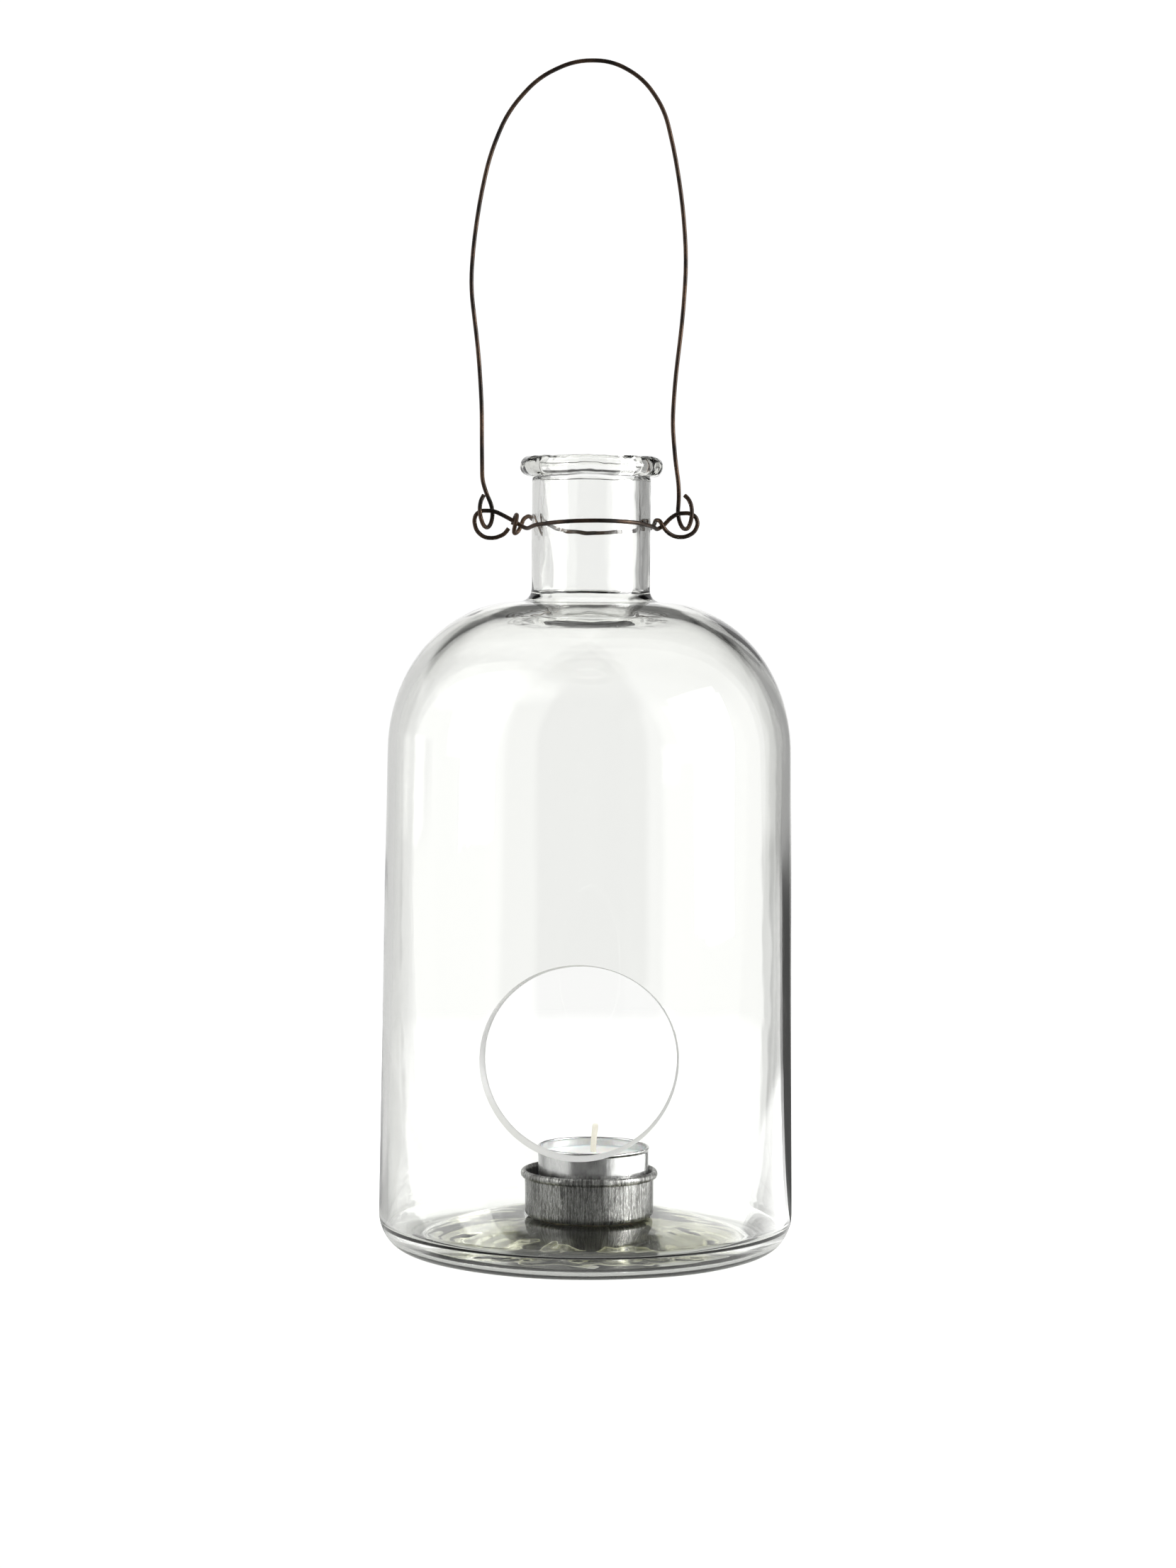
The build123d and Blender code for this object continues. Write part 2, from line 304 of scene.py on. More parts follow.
def hole_patch(bm, border, radius_at, grow_at):
    """Fills a wall's patch with loops from its border in to the hole. Returns the last loop, and
    which way each of its vertices lies."""
    loop = border
    starts = [vert.co / MM for vert in border]
    shares = [hole_share(start.x, start.z) for start in starts]
    for step in range(1, PATCH_LOOPS + 1):
        blend = (step / PATCH_LOOPS) ** 0.8
        ring = []
        for start, share in zip(starts, shares):
            end_x, end_z = hole_point(share, grow_at(share))
            x = start.x + (end_x - start.x) * blend
            z = start.z + (end_z - start.z) * blend
            y = -math.sqrt(radius_at(z) ** 2 - x ** 2)
            ring.append(bm.verts.new((x * MM, y * MM, z * MM)))
        bridge(bm, loop, ring)
        loop = ring
    return loop, shares


def ground_edge(bm, outer_loop, inner_loop, shares):
    """The hole's ground edge: a bevel outside, the cut across the wall and a small inner bevel."""
    loops = [outer_loop]
    for grow, depth in GROUND_STEPS:
        ring = []
        for share, outer, inner in zip(shares, outer_loop, inner_loop):
            rough = 0.05 * noise.noise(Vector((share * 60, grow * 4, 5)))
            x, z = hole_point(share, grow * bevel_width(share) + rough)
            y = outer.co.y / MM + (inner.co.y / MM - outer.co.y / MM) * depth
            ring.append(bm.verts.new((x * MM, y * MM, z * MM)))
        loops.append(ring)
    loops.append(inner_loop)
    for a, b in zip(loops, loops[1:]):
        for face in bridge(bm, a, b):
            face.material_index = 1
    for loop in (outer_loop, inner_loop):
        for a, b in zip(loop, loop[1:] + loop[:1]):
            bm.edges.get((a, b)).smooth = False


def glass_wave(point, normal):
    """How far blown glass wanders from its true outline, along the surface's normal."""
    radius = math.hypot(point.x, point.y)
    inward = normal.x * point.x + normal.y * point.y < 0
    on_floor = point.z < 20 and normal.z > 0.7 and radius < BASE_R
    on_punt = point.z < PUNT_RISE + 0.5 and normal.z < 0 and radius < RING_R
    if on_floor:
        past_glue = faded(radius, GLUE_R + 3, GLUE_R + 15)
        before_heel = faded(radius, RING_R + 3, RING_R - 6)
        ripple = waves(point, 0.24, 15, 15) + waves(point, 0.07, 5, 5)
        wave = past_glue * before_heel * ripple
    elif on_punt:
        ripple = waves(point, 0.45, 11, 11, 4) + waves(point, 0.15, 4, 4)
        wave = faded(radius, RING_R, RING_R - 6) * (ripple - 0.4)
    elif point.z > LIP_Z - LIP_TALL:
        wave = waves(point, 0.34, 5.5, 5, 2) + waves(point, 0.12, 2.4, 2) - 0.3
    elif point.z > NECK_Z and inward:
        wave = waves(point, 0.22, 7, 16) + waves(point, 0.07, 3, 2.5)
    elif point.z > NECK_Z:
        wave = waves(point, 0.06, 8, 14, 3) - 0.06
    elif inward:
        ripple = waves(point, 0.09, 30, 90, 7) + waves(point, 0.012, 9, 22)
        wave = faded(point.z, 14, 30) * ripple
    else:
        wave = waves(point, 0.1, 30, 50) + waves(point, 0.012, 7, 9) - 0.11
    return normal * wave


def glass_bottle_mesh():
    bm = bmesh.new()
    outside, inside = bottle_outline()
    outline = outside + inside[1:]
    rings = []
    for radius, z in outline:
        if radius < TINY:
            rings.append([bm.verts.new((0, 0, z * MM))] * SECTORS)
        else:
            rings.append(ring_of_verts(bm, radius, z, SECTORS))
    rows = [i for i, (_, z) in enumerate(outline) if PATCH_LOW - TINY < z < PATCH_HIGH + TINY]
    outside_rows = [i for i in rows if i < len(outside)]
    inside_rows = [i for i in rows if i >= len(outside)]
    holed = set(outside_rows[:-1] + inside_rows[:-1])
    for i, (a, b) in enumerate(zip(rings, rings[1:])):
        for j in range(SECTORS):
            k = (j + 1) % SECTORS
            in_front = (j + PATCH_SECTORS) % SECTORS < 2 * PATCH_SECTORS
            if i not in holed or not in_front:
                bm.faces.new(list(dict.fromkeys((a[j], a[k], b[k], b[j]))))
    outer_border = patch_frame([rings[i] for i in outside_rows])
    outer_loop, shares = hole_patch(bm, outer_border, outer_wall_r, bevel_width)
    inner_border = patch_frame([rings[i] for i in reversed(inside_rows)])
    inner_loop, _ = hole_patch(bm, inner_border, inner_wall_r, lambda share: INNER_BEVEL)
    ground_edge(bm, outer_loop, inner_loop, shares)
    return finished(bm, "glass", glass_wave)


# ---------------------------------------------------------------- candle cup and tealight

CUP_X = 1.3
CUP_Z = 10.5
CUP_R = 21.6
CUP_H = 15.6
CUP_SHEET = 0.5
CUP_CORNER = 1.8
BEAD_WIDE = 0.95
BEAD_TALL = 1.3
GLUE_R = 19.5
GLUE_TOP = 0.39
WETTED = 0.06             # how far the glue reaches into the glass, so that no air is between
TEALIGHT_X = 2.6
TEALIGHT_Z = 11.0
TEALIGHT_R = 19.0
TEALIGHT_H = 23.0
TEALIGHT_SHEET = 0.25
TEALIGHT_CORNER = 1.4
RIM_R = 0.45
WAX_TOP = 31.2
WICK_R = 0.85
WICK_OUT = 10.0
WICK_LEAN = 0.6
FIT = 0.05                # between the wax and its foil


def cup_outline(outer_r, height, sheet, corner, rim_out, rim_wide, rim_tall, rows):
    """A sheet cup from the middle of its underside, up the outside, round its rolled rim and
    back down the inside. rim_out is how far out from the wall the rim's middle lies."""
    rim_x = outer_r - sheet + rim_out
    rim_z = height - rim_tall
    outside = joined(
        straight((0, 0), (outer_r - corner, 0), 6),
        arc((outer_r - corner, corner), (corner, corner), -90, 0, 8),
        straight((outer_r, corner), (outer_r, rim_z - 0.75 * rim_tall), rows),
    )
    rim = arc((rim_x, rim_z), (rim_wide, rim_tall), -55, 180, 20)
    inner = corner - sheet
    inside = joined(
        straight((outer_r - sheet, rim_z), (outer_r - sheet, corner), rows),
        arc((outer_r - corner, corner), (inner, inner), 0, -90, 6),
        straight((outer_r - corner, sheet), (0, sheet), 6),
    )
    return joined(outside, rim, inside)


def candle_cup_mesh():
    """The zinc cup, a little out of round and dented."""
    outline = cup_outline(
        CUP_R, CUP_H, CUP_SHEET, CUP_CORNER, BEAD_WIDE, BEAD_WIDE, BEAD_TALL, 16
    )

    def dents(point, normal):
        out = Vector((point.x - CUP_X, point.y, 0))
        if out.length < 1:
            return Vector()
        turn = math.atan2(out.y, out.x)
        round_out = 0.12 * math.sin(2 * turn + 0.6) + 0.06 * math.sin(3 * turn + 2.0)
        dent = waves(point, 0.1, 7, 12, 3)
        on_bead = point.z > CUP_H - 2 * BEAD_TALL
        crease = waves(point, 0.1 if on_bead else 0.02, 1.2, 1.6)
        return out.normalized() * (faded(point.z, 2, CUP_H) * (round_out + dent)) + normal * crease

    return lifted(turned_mesh("cup", outline, 300, CUP_X, dents), CUP_Z)


def tealight_cup_mesh():
    """The foil cup, with the fine upright pleats of its pressing."""
    outline = cup_outline(
        TEALIGHT_R - RIM_R, TEALIGHT_H, TEALIGHT_SHEET, TEALIGHT_CORNER, 0.0, RIM_R, RIM_R, 26
    )

    def pleats(point, normal):
        out = Vector((point.x - TEALIGHT_X, point.y, 0))
        if out.length < TEALIGHT_R - 3 or point.z < TEALIGHT_CORNER:
            return Vector()
        turn = math.atan2(out.y, out.x)
        depth = 0.009 if point.z < TEALIGHT_H - 2.5 * RIM_R else 0.004
        wander = 1.4 * noise.noise(Vector((turn * 5, point.z / 7, 3)))
        pleat = noise.noise(Vector((turn * 34 + wander, point.z / 14, 0)))
        fine = noise.noise(Vector((turn * 80 + wander, point.z / 6, 8)))
        return out.normalized() * depth * (1.5 * pleat + 0.8 * fine - 0.6)

    return lifted(turned_mesh("tealight", outline, 420, TEALIGHT_X, pleats), TEALIGHT_Z)


def wax_mesh():
    """The wax, which climbs a little where it meets the foil and the wick."""
    wall = TEALIGHT_R - RIM_R - TEALIGHT_SHEET - FIT
    low = TEALIGHT_Z + TEALIGHT_SHEET + FIT
    corner = TEALIGHT_CORNER
    bore = 0.3
    edge_wide = 1.2
    edge_tall = 0.28
    edge_z = WAX_TOP - 0.1
    collar_r = WICK_R + 0.35
    collar_wide = 1.6
    collar_tall = 0.82
    collar_z = WAX_TOP + 0.5
    outline = joined(
        [(bore, low + 1.0), (bore, low)],
        straight((bore, low), (wall - corner, low), 5),
        arc((wall - corner, low + corner), (corner, corner), -90, 0, 6),
        straight((wall, low + corner), (wall, edge_z), 8),
        arc((wall - edge_wide, edge_z), (edge_wide, -edge_tall), 0, 90, 6),
        straight(
            (wall - edge_wide, edge_z - edge_tall),
            (collar_r + collar_wide, collar_z - collar_tall),
            14,
        ),
        arc((collar_r + collar_wide, collar_z), (collar_wide, collar_tall), -90, -180, 8),
        [(collar_r - 0.25, WAX_TOP + 0.45), (bore, WAX_TOP + 0.2)],
    )

    def uneven(point, normal):
        if point.z <= WAX_TOP - 1:
            return Vector()
        return Vector((0, 0, waves(point, 0.05, 6, 6)))

    return turned_mesh("wax", outline, 120, TEALIGHT_X, uneven)


def tube_mesh(name, centres, section, sides):
    """A tube along points. section gives its half sizes, across and deep, at a share of its
    length and an angle round it."""
    bm = bmesh.new()
    rings = []
    for i, centre in enumerate(centres):
        before = centres[max(0, i - 1)]
        after = centres[min(len(centres) - 1, i + 1)]
        along = (after - before).normalized()
        right = Vector((1, 0, 0))
        side = (right - along * right.dot(along)).normalized()
        front = along.cross(side)
        ring = []
        for j in range(sides):
            angle = 2 * math.pi * j / sides
            across, deep = section(i / (len(centres) - 1), angle)
            place = centre + side * (across * math.cos(angle)) + front * (deep * math.sin(angle))
            ring.append(bm.verts.new(place * MM))
        rings.append(ring)
    for a, b in zip(rings, rings[1:]):
        bridge(bm, a, b)
    for ring in (rings[0], rings[-1]):
        bm.faces.new(ring)
    return finished(bm, name)


def wick_mesh():
    """A flat braided wick, stiff with wax, leaning a little."""
    low = TEALIGHT_Z + TEALIGHT_SHEET + FIT
    top = WAX_TOP + WICK_OUT
    centres = []
    steps = 60
    for k in range(steps + 1):
        z = low + (top - low) * k / steps
        out = max(0.0, (z - WAX_TOP) / WICK_OUT)
        bow = 0.12 * math.sin(math.pi * min(1.0, out * 1.3))
        centres.append(Vector((TEALIGHT_X + WICK_LEAN * out ** 1.6 - bow, 0.2 * out, z)))

    def section(share, angle):
        twist = 165 * share
        braid = 1 + 0.07 * math.sin(3 * angle + twist) + 0.05 * math.sin(3 * angle - twist)
        end = 1.0 - 0.35 * faded(share, 0.985, 1.0)
        return 0.98 * braid * end, 0.7 * braid * end

    return tube_mesh("wick", centres, section, 24)


def glue_mesh():
    """A flattened blob of glue between the cup and the glass."""
    reach = [
        (0, -WETTED),
        (GLUE_R * 0.5, -WETTED),
        (GLUE_R - 0.8, -WETTED),
        (GLUE_R - 0.1, 0.1),
        (GLUE_R - 0.1, 0.3),
        (GLUE_R - 0.8, GLUE_TOP),
        (0, GLUE_TOP),
    ]
    outline = [(radius, z + FLOOR_Z) for radius, z in reach]

    def blob(point, normal):
        out = Vector((point.x - CUP_X, point.y, 0))
        if out.length < 2:
            return Vector()
        turn = math.atan2(out.y, out.x)
        wander = noise.noise(Vector((math.cos(turn) * 1.6, math.sin(turn) * 1.6, 2)))
        return out.normalized() * (out.length / GLUE_R) * (1.4 * wander - 0.8)

    return turned_mesh("glue", outline, 96, CUP_X, blob)


# ---------------------------------------------------------------- materials

GLASS_TINT = (0.49, 0.53, 0.18, 1)
GLASS_DENSITY = 8.0       # how fast white light fades to the tint, per metre


def new_material(name):
    material = bpy.data.materials.new(name)
    material.use_nodes = True
    nodes = material.node_tree.nodes
    nodes.clear()
    return material, nodes, material.node_tree.links


def new_shader(nodes, links, **settings):
    """A Principled shader on the output, with plain settings on its own sockets."""
    out = nodes.new("ShaderNodeOutputMaterial")
    shader = nodes.new("ShaderNodeBsdfPrincipled")
    for name, value in settings.items():
        shader.inputs[name.replace("_", " ")].default_value = value
    links.new(shader.outputs[0], out.inputs["Surface"])
    return shader, out


def math_node(nodes, links, operation, *values):
    """A Math node. Each value is a socket or a number."""
    made = nodes.new("ShaderNodeMath")
    made.operation = operation
    for socket, value in zip(made.inputs, values):
        if isinstance(value, (int, float)):
            socket.default_value = value
        else:
            links.new(value, socket)
    return made.outputs[0]


def product(nodes, links, *values):
    """All the values multiplied. Each is a socket or a number."""
    total = values[0]
    for value in values[1:]:
        total = math_node(nodes, links, "MULTIPLY", total, value)
    return total


def ramp(nodes, links, value, start, end, low=0.0, high=1.0):
    """Runs smoothly from low to high as value goes from start to end."""
    made = nodes.new("ShaderNodeMapRange")
    made.interpolation_type = "SMOOTHSTEP"
    for name, number in (("From Min", start), ("From Max", end), ("To Min", low), ("To Max", high)):
        made.inputs[name].default_value = number
    links.new(value, made.inputs["Value"])
    return made.outputs[0]


def object_place(nodes):
    return nodes.new("ShaderNodeTexCoord").outputs["Object"]


def split_place(nodes, links, place):
    """The x, y and z of a place."""
    split = nodes.new("ShaderNodeSeparateXYZ")
    links.new(place, split.inputs[0])
    return split.outputs


def place_around(nodes, links, centre_x, radius):
    """Metres round a vertical wall from the front, and metres up it."""
    x, y, z = split_place(nodes, links, object_place(nodes))
    from_axis = math_node(nodes, links, "SUBTRACT", x, centre_x * MM)
    turn = math_node(nodes, links, "ARCTAN2", from_axis, product(nodes, links, y, -1.0))
    unrolled = nodes.new("ShaderNodeCombineXYZ")
    links.new(product(nodes, links, turn, radius * MM), unrolled.inputs[0])
    links.new(z, unrolled.inputs[1])
    return unrolled.outputs[0]


def noise_field(nodes, links, place, wide, tall=None, deep=None, tilt=0.0, detail=3.0, warp=0.0):
    """Noise from 0 to 1 whose waves are so many millimetres along X, Y and Z."""
    tall = wide if tall is None else tall
    deep = wide if deep is None else deep
    mapping = nodes.new("ShaderNodeMapping")
    mapping.inputs["Rotation"].default_value = (0, 0, math.radians(tilt))
    mapping.inputs["Scale"].default_value = (1 / (wide * MM), 1 / (tall * MM), 1 / (deep * MM))
    made = nodes.new("ShaderNodeTexNoise")
    made.inputs["Scale"].default_value = 1.0
    made.inputs["Detail"].default_value = detail
    made.inputs["Distortion"].default_value = warp
    links.new(place, mapping.inputs["Vector"])
    links.new(mapping.outputs[0], made.inputs["Vector"])
    return made.outputs[0]


def blended(nodes, links, share, low, high):
    """A colour from low to high by share, which runs from 0 to 1."""
    mix = nodes.new("ShaderNodeMix")
    mix.data_type = "RGBA"
    mix.inputs[6].default_value = (*low, 1)
    mix.inputs[7].default_value = (*high, 1)
    links.new(share, mix.inputs[0])
    return mix.outputs[2]


def coloured(nodes, links, shader, share, low, high):
    """Runs a shader's colour from low to high by share."""
    links.new(blended(nodes, links, share, low, high), shader.inputs["Base Color"])


def roughened(nodes, links, shader, field, low, high, start=0.3, end=0.7):
    """Runs a shader's roughness from low to high as field goes from start to end."""
    links.new(ramp(nodes, links, field, start, end, low, high), shader.inputs["Roughness"])


def bumped(nodes, links, shader, heights):
    """Chains bumps onto a shader. Each is a height socket and how many millimetres it stands."""
    normal = None
    for height, tall in heights:
        bump = nodes.new("ShaderNodeBump")
        bump.inputs["Strength"].default_value = 1.0
        bump.inputs["Distance"].default_value = tall * MM
        links.new(height, bump.inputs["Height"])
        if normal is not None:
            links.new(normal, bump.inputs["Normal"])
        normal = bump.outputs[0]
    links.new(normal, shader.inputs["Normal"])


def base_murk(nodes, links, place):
    """The olive cloud in the top of the bottle's floor, as a share."""
    x, y, z = split_place(nodes, links, place)
    squares = [product(nodes, links, side, side) for side in (x, y)]
    from_axis = math_node(nodes, links, "SQRT", math_node(nodes, links, "ADD", *squares))
    cloud = noise_field(nodes, links, place, 14, detail=3, warp=0.6)
    low = ramp(nodes, links, z, (FLOOR_Z + 2) * MM, FLOOR_Z * MM)
    middle = ramp(nodes, links, from_axis, RING_R * MM, (RING_R - 8) * MM)
    return product(nodes, links, low, middle, ramp(nodes, links, cloud, 0.35, 0.6, 0.35, 1.0))


def glass_material(name, ground):
    """Soda-lime glass, greener in its thick base. Lamps reach what is behind it."""
    material, nodes, links = new_material(name)
    transmission = 0.5 if ground else 1.0
    glass, out = new_shader(nodes, links, IOR=1.52, Transmission_Weight=transmission)
    place = object_place(nodes)
    if ground:
        scratches = noise_field(nodes, links, place, 0.5, 0.9, 0.5, detail=5)
        roughened(nodes, links, glass, scratches, 0.3, 0.55)
        coloured(nodes, links, glass, scratches, (0.86, 0.86, 0.84), (1, 1, 1))
        bumped(nodes, links, glass, [(scratches, 0.12)])
    else:
        glass.inputs["Roughness"].default_value = 0.0
        murk = base_murk(nodes, links, place)
        coloured(nodes, links, glass, murk, (0.992, 0.995, 0.99), (0.6, 0.6, 0.42))
        seedy = noise_field(nodes, links, place, 6, 6, 12, detail=1)
        bumped(nodes, links, glass, [(seedy, 0.008)])
    clear = nodes.new("ShaderNodeBsdfTransparent")
    clear.inputs["Color"].default_value = (0.94, 0.945, 0.94, 1)
    path = nodes.new("ShaderNodeLightPath")
    shown = glass.outputs[0]
    for ray in ("Is Shadow Ray", "Is Diffuse Ray"):
        mix = nodes.new("ShaderNodeMixShader")
        links.new(path.outputs[ray], mix.inputs[0])
        links.new(shown, mix.inputs[1])
        links.new(clear.outputs[0], mix.inputs[2])
        shown = mix.outputs[0]
    links.new(shown, out.inputs["Surface"])
    tint = nodes.new("ShaderNodeVolumeAbsorption")
    tint.inputs["Color"].default_value = GLASS_TINT
    tint.inputs["Density"].default_value = GLASS_DENSITY
    links.new(tint.outputs[0], out.inputs["Volume"])
    return material


def iron_material():
    """Annealed iron wire: a dark oxide skin with browner rubbed patches and fine draw lines."""
    material, nodes, links = new_material("annealed_iron")
    shader, _ = new_shader(nodes, links, Metallic=0.75)
    place = object_place(nodes)
    patches = noise_field(nodes, links, place, 9, detail=4)
    grain = noise_field(nodes, links, place, 0.8, detail=4)
    lumps = noise_field(nodes, links, place, 2.5, detail=2)
    share = product(nodes, links, ramp(nodes, links, patches, 0.35, 0.7), grain)
    coloured(nodes, links, shader, share, (0.014, 0.011, 0.009), (0.13, 0.075, 0.045))
    roughened(nodes, links, shader, grain, 0.32, 0.42, 0.25, 0.75)
    bumped(nodes, links, shader, [(grain, 0.012), (lumps, 0.05)])
    return material


def galvanised_material():
    """Weathered galvanised sheet: zinc spangle, drawn vertical streaks and slanting brush marks."""
    material, nodes, links = new_material("galvanised_sheet")
    shader, _ = new_shader(nodes, links, Metallic=0.92)
    wall = place_around(nodes, links, CUP_X, CUP_R)
    streaks = noise_field(nodes, links, wall, 0.55, 16, detail=4)
    broad = noise_field(nodes, links, wall, 2.4, 22, detail=2)
    brushed = noise_field(nodes, links, wall, 0.32, 1.7, tilt=24, detail=4, warp=0.8)
    patches = noise_field(nodes, links, wall, 9, 7, detail=3)
    spangle = nodes.new("ShaderNodeTexVoronoi")
    spangle.inputs["Scale"].default_value = 1 / (3.2 * MM)
    links.new(wall, spangle.inputs["Vector"])
    flake = nodes.new("ShaderNodeSeparateColor")
    links.new(spangle.outputs["Color"], flake.inputs[0])
    dull = ramp(nodes, links, streaks, 0.32, 0.7)
    scratch = ramp(nodes, links, brushed, 0.35, 0.68)
    tone = product(nodes, links, dull, 0.34)
    for field, weight in ((broad, 0.25), (scratch, 0.3), (patches, 0.2), (flake.outputs[0], 0.1)):
        tone = math_node(nodes, links, "ADD", tone, product(nodes, links, field, weight))
    tone = ramp(nodes, links, tone, 0.3, 0.95)
    coloured(nodes, links, shader, tone, (0.11, 0.108, 0.105), (0.5, 0.5, 0.49))
    roughened(nodes, links, shader, scratch, 0.38, 0.26, 0.0, 1.0)
    bumped(nodes, links, shader, [(streaks, 0.015), (brushed, 0.035), (broad, 0.04)])
    return material


def aluminium_material():
    """Thin pressed aluminium, satin, with fine upright wrinkles left by the press."""
    material, nodes, links = new_material("aluminium_foil")
    shader, _ = new_shader(nodes, links, Metallic=1.0)
    wall = place_around(nodes, links, TEALIGHT_X, TEALIGHT_R)
    wrinkles = noise_field(nodes, links, wall, 0.3, 2.2, detail=4, warp=0.6)
    drawn = noise_field(nodes, links, wall, 0.2, 14, detail=2)
    cloud = noise_field(nodes, links, wall, 4, 6, detail=3)
    tone = product(nodes, links, wrinkles, ramp(nodes, links, cloud, 0.2, 0.8, 0.7, 1.3))
    coloured(nodes, links, shader, tone, (0.6, 0.6, 0.605), (0.9, 0.9, 0.905))
    roughened(nodes, links, shader, cloud, 0.2, 0.28)
    bumped(nodes, links, shader, [(wrinkles, 0.016), (drawn, 0.008)])
    return material


def wax_material():
    """White paraffin wax with a faint bloom."""
    material, nodes, links = new_material("paraffin_wax")
    shader, _ = new_shader(nodes, links, Subsurface_Weight=0.35, Subsurface_Scale=0.003)
    place = object_place(nodes)
    bloom = noise_field(nodes, links, place, 3, detail=4)
    grain = noise_field(nodes, links, place, 0.6, detail=2)
    coloured(nodes, links, shader, bloom, (0.86, 0.85, 0.83), (0.93, 0.925, 0.91))
    roughened(nodes, links, shader, bloom, 0.3, 0.45)
    bumped(nodes, links, shader, [(bloom, 0.05), (grain, 0.01)])
    return material


def cotton_material():
    """A waxed cotton wick: cream, with its braid showing."""
    material, nodes, links = new_material("waxed_cotton")
    shader, _ = new_shader(nodes, links, Sheen_Weight=0.15)
    place = object_place(nodes)
    braid = noise_field(nodes, links, place, 0.25, 0.25, 0.7, detail=3, warp=0.8)
    soak = noise_field(nodes, links, place, 2.5, detail=2)
    coloured(nodes, links, shader, braid, (0.66, 0.62, 0.5), (0.9, 0.88, 0.8))
    roughened(nodes, links, shader, soak, 0.45, 0.75)
    bumped(nodes, links, shader, [(braid, 0.12)])
    return material


def glue_material():
    """Cured glue, smeared, darker and lighter in patches."""
    material, nodes, links = new_material("cured_glue")
    shader, _ = new_shader(nodes, links, Subsurface_Weight=0.3, Subsurface_Scale=0.002)
    smear = noise_field(nodes, links, object_place(nodes), 5, detail=5, warp=1.2)
    smear_tone = ramp(nodes, links, smear, 0.3, 0.7)
    coloured(nodes, links, shader, smear_tone, (0.12, 0.11, 0.06), (0.42, 0.38, 0.24))
    roughened(nodes, links, shader, smear, 0.2, 0.5)
    bumped(nodes, links, shader, [(smear, 0.15)])
    return material


def tin_material():
    """Rolled tin plate."""
    material, nodes, links = new_material("tin_plate")
    shader, _ = new_shader(nodes, links, Metallic=1.0)
    rolled = noise_field(nodes, links, object_place(nodes), 4, 0.3, 4, detail=3)
    coloured(nodes, links, shader, rolled, (0.55, 0.55, 0.53), (0.75, 0.75, 0.73))
    roughened(nodes, links, shader, rolled, 0.25, 0.4)
    bumped(nodes, links, shader, [(rolled, 0.02)])
    return material


# ---------------------------------------------------------------- stage

# The studio. Its darker parts are shares of the walls' light, by bearing in degrees.
WHITE = 1.04              # brightness of the walls
OVERHEAD = 0.75           # high up, all round
CEILING = 0.1             # high up at the back
FRONT = (-46, 30, 0.07)   # bearings from the front, and the share that is left between them
LEFT_WALL = (-62, -13.5, 0.67)
# Black cloth at the back right, in steps: from which bearing, and the share that each step
# leaves where the cloth lies on the floor, and where it hangs.
CLOTH = ((9.8, 0.62, 1.0), (12.2, 0.42, 0.82), (15.6, 0.27, 0.45))
CLOTH_END = 38
CLOTH_HUNG_END = 62       # the hung part reaches further round
CLOTH_HUNG_REST = 0.3
# The floor's bearings from the back are taken from beside the glass, this far from the axis.
CLOTH_SIDE = 0.057
CLOTH_SIDE_CLOSE = 0.050  # on the paper near the lantern
# Light and shade painted on the paper near the lantern, as its metals mirror it: bearings from the
# front, softness, share.
NEAR_MIDDLE = (-48, 26, 8, 0.38)
NEAR_LEFT = (-130, -56, 8, 0.75)
NEAR_RIGHT = (40, 128, 10)
NEAR_RIGHT_GLOW = 2.4     # reached between these two distances from the axis
NEAR_RIGHT_FROM = 0.085
NEAR_RIGHT_FULL = 0.115
PAPER = 0.85
PAPER_GLOW = 0.75         # seen straight from the camera
PAPER_GLOW_ELSEWHERE = 0.2
# The shadow painted into the paper's colour and glow: a contact shadow round the foot and a dark patch
# under the glass, lighter beside the cup.
RIM_SHADE = 0.68          # share of the paper's light in the contact shadow round the foot
PAINTED_SHADOW_UNDER_GLASS = 0.06        # and in the middle of the painted shadow patch under the glass
SHADOW_PATCH_BESIDE = 0.3        # how much of that patch is left to the right of the cup
SHADOW_PATCH_LEFT = 0.25         # and to the left


def area_light(name, place, aim, size, power):
    data = bpy.data.lights.new(name, "AREA")
    data.shape = "RECTANGLE"
    data.size, data.size_y = size
    data.energy = power
    lamp = bpy.data.objects.new(name, data)
    lamp.location = place
    lamp.rotation_euler = (Vector(aim) - Vector(place)).to_track_quat("-Z", "Y").to_euler()
    lamp.visible_camera = False
    bpy.context.scene.collection.objects.link(lamp)
    return lamp


def build_floor():
    half = 6.0
    corners = [(-half, -half, 0), (half, -half, 0), (half, half, 0), (-half, half, 0)]
    mesh = bpy.data.meshes.new("floor")
    mesh.from_pydata(corners, [], [(0, 1, 2, 3)])
    mesh.materials.append(floor_material())
    floor = bpy.data.objects.new("floor", mesh)
    bpy.context.scene.collection.objects.link(floor)


def wedge(nodes, links, bearing, low, high, soft, inside):
    """1 all round the studio, and inside between two bearings, in degrees."""
    rise = ramp(nodes, links, bearing, low - soft, low)
    fall = ramp(nodes, links, bearing, high, high + soft, 1.0, 0.0)
    missing = math_node(nodes, links, "SUBTRACT", 1.0, inside)
    return math_node(nodes, links, "SUBTRACT", 1.0, product(nodes, links, rise, fall, missing))


def bearing_from_back(nodes, links, x, y, side):
    """Degrees from straight behind, measured from (side, 0), positive to the right."""
    across = math_node(nodes, links, "SUBTRACT", x, side)
    return math_node(nodes, links, "DEGREES", math_node(nodes, links, "ARCTAN2", across, y))


def bearing_from_front(nodes, links, x, y):
    """Degrees from straight in front, positive to the right."""
    forwards = product(nodes, links, y, -1.0)
    return math_node(nodes, links, "DEGREES", math_node(nodes, links, "ARCTAN2", x, forwards))


